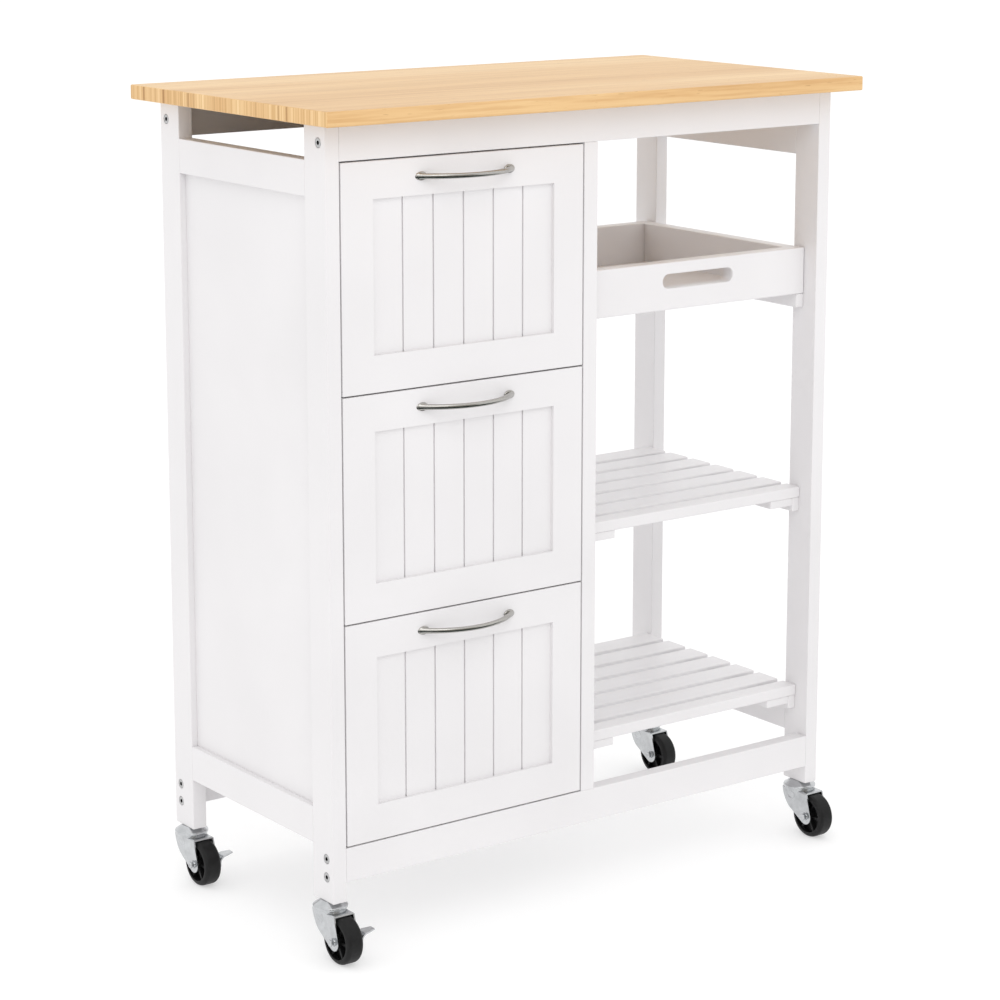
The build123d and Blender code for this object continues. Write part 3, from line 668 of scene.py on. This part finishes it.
def worked_fork(corner):
    """The frame's fork, merged, trimmed, dented and bevelled, with rivet heads."""
    at = middle(f"leg_{corner}")
    fork = copy_of(NODES[f"caster_{corner}_fork"], f"pressed_fork_{corner}", (-at.x, -at.y, 0))
    fork.parent = None
    pick(fork, lambda place, normal: True)
    bpy.ops.mesh.remove_doubles(threshold=0.003 * MM)
    bpy.ops.mesh.dissolve_limited(angle_limit=math.radians(1))
    low = min(v.co.x for v in fork.data.vertices) + AXLE_HEAD
    high = max(v.co.x for v in fork.data.vertices) - AXLE_HEAD
    pick(fork, lambda place, normal: True)
    bpy.ops.mesh.bisect(plane_co=(low, 0, 0), plane_no=(-1, 0, 0), use_fill=True, clear_outer=True)
    bpy.ops.mesh.select_all(action="SELECT")
    bpy.ops.mesh.bisect(plane_co=(high, 0, 0), plane_no=(1, 0, 0), use_fill=True, clear_outer=True)
    for side in (-1, 1):
        dent = fresh(bpy.ops.mesh.primitive_uv_sphere_add, segments=32, ring_count=16, radius=1,
                     location=(side * (CHEEK + DENT_OUT), *DENT_AT))
        dent.scale = DENT_SIZE
        settle(dent)
        modify(fork, "BOOLEAN", operation="DIFFERENCE", object=dent, solver="EXACT")
        bpy.data.objects.remove(dent)
    modify(fork, "BEVEL", width=0.3 * MM, segments=2, limit_method="ANGLE",
           angle_limit=math.radians(50))
    heads = [rivet(-1, low), rivet(1, high)]
    made = finish_piece(join(fork, *heads), f"pressed_fork_{corner}", 38)
    modify(made, "WEIGHTED_NORMAL", keep_sharp=True, weight=90)
    made.data.transform(Matrix.Translation((at.x, at.y, 0)))
    coat(made, ZINC)
    for mark in [key for key in made.keys() if key.startswith("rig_")]:     # copied with the frame's node
        del made[mark]
    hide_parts(f"caster_{corner}_fork")
    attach(made, f"caster_{corner}_swivel")
    return made


forks = [worked_fork(corner) for corner in CORNERS]
print("forks:", [(fork.name, len(fork.data.polygons)) for fork in forks])

# %% [markdown]
# ## Wheels
# A caster wheel is moulded in one piece. It starts as a disc whose two rims are bevelled round. Each
# side is then inset and pushed in, which leaves a rim, and inset again and pulled out, which leaves
# the hub. Six thin spokes join them.

# %% Wheels
WHEEL_R, WHEEL_W, SHOULDER = 24 * MM, 19 * MM, 4.5 * MM
RIM_IN, WEB_HALF, HUB_R, HUB_HALF = 18.5 * MM, 2.5 * MM, 6.5 * MM, 10 * MM
SPOKES, SPOKE_W, SPOKE_HALF, SPOKE_LAP = 6, 2.6 * MM, 7.5 * MM, 1.5 * MM
BORE_R = 3.0 * MM


def caster_wheel():
    """A wheel about the X axis at the origin."""
    wheel = fresh(bpy.ops.mesh.primitive_cylinder_add, vertices=96, radius=WHEEL_R, depth=WHEEL_W,
                  rotation=(0, math.pi / 2, 0))
    settle(wheel)
    pick(wheel, lambda at, normal: abs(normal.x) > 0.9)
    bpy.ops.mesh.bevel(offset=SHOULDER, segments=8, affect="EDGES")
    for side in (-1, 1):
        pick(wheel, lambda at, normal: side * normal.x > 0.9 and Vector((at.y, at.z)).length < MM)
        bpy.ops.mesh.inset(thickness=WHEEL_R - SHOULDER - RIM_IN)
        push = side * (WEB_HALF - WHEEL_W / 2)
        bpy.ops.mesh.extrude_region_move(TRANSFORM_OT_translate={"value": (push, 0, 0)})
        bpy.ops.mesh.inset(thickness=RIM_IN - HUB_R)
        pull = side * (HUB_HALF - WEB_HALF)
        bpy.ops.mesh.extrude_region_move(TRANSFORM_OT_translate={"value": (pull, 0, 0)})
    reach = (RIM_IN + HUB_R) / 2
    for i in range(SPOKES):
        angle = 2 * math.pi * i / SPOKES
        spoke = fresh(bpy.ops.mesh.primitive_cube_add, size=1, rotation=(angle, 0, 0),
                      location=(0, reach * math.cos(angle), reach * math.sin(angle)))
        spoke.scale = (2 * SPOKE_HALF, RIM_IN - HUB_R + SPOKE_LAP, SPOKE_W)
        settle(spoke)
        modify(wheel, "BOOLEAN", operation="UNION", object=spoke, solver="EXACT")
        bpy.data.objects.remove(spoke)
    bore = fresh(bpy.ops.mesh.primitive_cylinder_add, vertices=32, radius=BORE_R, depth=3 * HUB_HALF,
                 rotation=(0, math.pi / 2, 0))
    settle(bore)
    modify(wheel, "BOOLEAN", operation="DIFFERENCE", object=bore, solver="EXACT")
    bpy.data.objects.remove(bore)
    modify(wheel, "BEVEL", width=0.4 * MM, segments=2, limit_method="ANGLE",
           angle_limit=math.radians(50))
    wheel = finish_piece(wheel, "moulded_wheel", 32)
    modify(wheel, "WEIGHTED_NORMAL", keep_sharp=True, weight=90)
    return wheel


wheel = caster_wheel()
for corner in CORNERS:
    at = middle(f"leg_{corner}")
    piece = copy_of(wheel, f"moulded_wheel_{corner}", (at.x, at.y - TRAIL, AXLE_HIGH))
    coat(piece, BLACK)
    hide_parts(f"caster_{corner}_wheel")
    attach(piece, f"caster_{corner}_wheel")
bpy.data.objects.remove(wheel)
print("wheel size in mm:", [round(v / MM, 1) for v in piece.dimensions])

# %% [markdown]
# ## Brake levers
# The two left casters have a pressed lever beside the right cheek. It hangs on the axle by an eye,
# rises, and flares outwards into a thin pedal for a toe, which narrows to its end. The flare is an
# edge spun through a quarter turn, so it bends as sheet metal does, and Solidify gives it the
# sheet's thickness.

# %% Brake levers
LEVER_X, LEVER_T, EYE_R = 12.55 * MM, 1.5 * MM, 6.5 * MM
FLARE_R, PEDAL_HIGH, PEDAL_REACH = 8 * MM, 31 * MM, 30 * MM
PEDAL_FRONT, PEDAL_WIDE = -14 * MM, 12.5 * MM
STALK, PEDAL_SHORT, PEDAL_RISE, PEDAL_TAPER = 3 * MM, 1 * MM, 0.8 * MM, 0.55


def brake_lever():
    """A lever about the axle at the origin, with its cheek at its own distance along X."""
    eye = fresh(bpy.ops.mesh.primitive_cylinder_add, vertices=48, radius=EYE_R, depth=LEVER_T,
                location=(LEVER_X + LEVER_T / 2, 0, 0), rotation=(0, math.pi / 2, 0))
    settle(eye)
    stalk_top = PEDAL_HIGH - AXLE_HIGH - FLARE_R
    sheet = fresh(bpy.ops.mesh.primitive_grid_add, x_subdivisions=1, y_subdivisions=1, size=1,
                  location=(LEVER_X + LEVER_T / 2, PEDAL_FRONT + PEDAL_WIDE / 2, stalk_top - STALK / 2),
                  rotation=(0, math.pi / 2, 0))
    sheet.scale = (STALK, PEDAL_WIDE, 1)
    settle(sheet)
    pick(sheet, lambda at, along: at.z > stalk_top - 0.1 * MM, "EDGE")
    turning = Vector((LEVER_X + LEVER_T / 2 + FLARE_R, 0, stalk_top))
    bpy.ops.mesh.spin(steps=10, angle=-math.pi / 2, center=turning, axis=(0, 1, 0))
    run = PEDAL_REACH - LEVER_X - FLARE_R - PEDAL_SHORT
    bpy.ops.mesh.extrude_region_move(TRANSFORM_OT_translate={"value": (run, 0, PEDAL_RISE)})
    bpy.ops.transform.resize(value=(1, PEDAL_TAPER, 1))
    bpy.ops.object.mode_set(mode="OBJECT")
    modify(sheet, "SOLIDIFY", thickness=LEVER_T, offset=0)
    modify(eye, "BOOLEAN", operation="UNION", object=sheet, solver="EXACT")
    bpy.data.objects.remove(sheet)
    return finish_piece(eye, "pressed_brake", 40)


lever = brake_lever()
print("lever size in mm:", [round(v / MM, 1) for v in lever.dimensions])
for corner in ("front_left", "back_left"):
    at = middle(f"leg_{corner}")
    piece = copy_of(lever, f"pressed_brake_{corner}", (at.x, at.y - TRAIL, AXLE_HIGH))
    coat(piece, ZINC)
    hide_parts(f"caster_{corner}_brake")
    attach(piece, f"caster_{corner}_brake")
bpy.data.objects.remove(lever)

# %% [markdown]
# ## Floor and light
# The cart stands on a seamless white floor under a large soft sky, with one broad key light from the
# upper left. Bright metal shows what stands round it, so a dark cloth lies on the floor in front and
# a grey one hangs on the wall behind the camera. They are seen only in reflections, and give the
# plated metal its dark and grey stripes. The floor glows faintly, so that it stays white.

# %% Floor, light and reflections
floor = fresh(bpy.ops.mesh.primitive_plane_add, size=40)
settle(floor)
floor.name = "studio_floor"
floor_finish, _, floor_shader, _ = material("matt_white_studio_floor", 0.9)
floor_shader.inputs["Base Color"].default_value = linear("C9C9C9")
floor_shader.inputs["Emission Color"].default_value = linear("FFFFFF")
floor_shader.inputs["Emission Strength"].default_value = 0.46
floor_shader.inputs["Specular IOR Level"].default_value = 0.0
floor.data.materials.append(floor_finish)

world = bpy.data.worlds.new("soft_studio")
bpy.context.scene.world = world
world.use_nodes = True
sky = world.node_tree.nodes["Background"]
sky.inputs["Color"].default_value = linear("FFFFFF")
sky.inputs["Strength"].default_value = 1.05


def softbox(name, place, target, size, power):
    """An area light at a place, looking at a target."""
    bpy.ops.object.light_add(type="AREA", location=place)
    light = bpy.context.object
    light.name = name
    light.data.size = size
    light.data.energy = power
    light.rotation_euler = (Vector(target) - Vector(place)).to_track_quat("-Z", "Y").to_euler()


softbox("key", (-1.6, -3.0, 3.2), (0, 0, 0.4), 2.2, 25)


def board(name, colour, place, turn, wide, high):
    """A matt cloth on a board that only reflections see."""
    made = fresh(bpy.ops.mesh.primitive_plane_add, size=1, location=place, rotation=turn)
    made.scale = (wide, high, 1)
    settle(made)
    made.name = name
    finish, _, shader, _ = material(f"{name}_cloth", 0.9)
    shader.inputs["Base Color"].default_value = linear(colour)
    shader.inputs["Specular IOR Level"].default_value = 0.0
    made.data.materials.append(finish)
    for ray in ("camera", "diffuse", "shadow", "transmission", "volume_scatter"):
        setattr(made, f"visible_{ray}", False)


board("dark_floor_cloth", "3A4442", (-1.2, -2.5, 0.004), (0, 0, 0), 5.6, 4.3)
board("grey_wall_cloth", "A39C93", (-0.8, -4.8, 1.3), (math.pi / 2, 0, 0), 6.4, 2.6)
bpy.context.scene.view_settings.view_transform = "Standard"
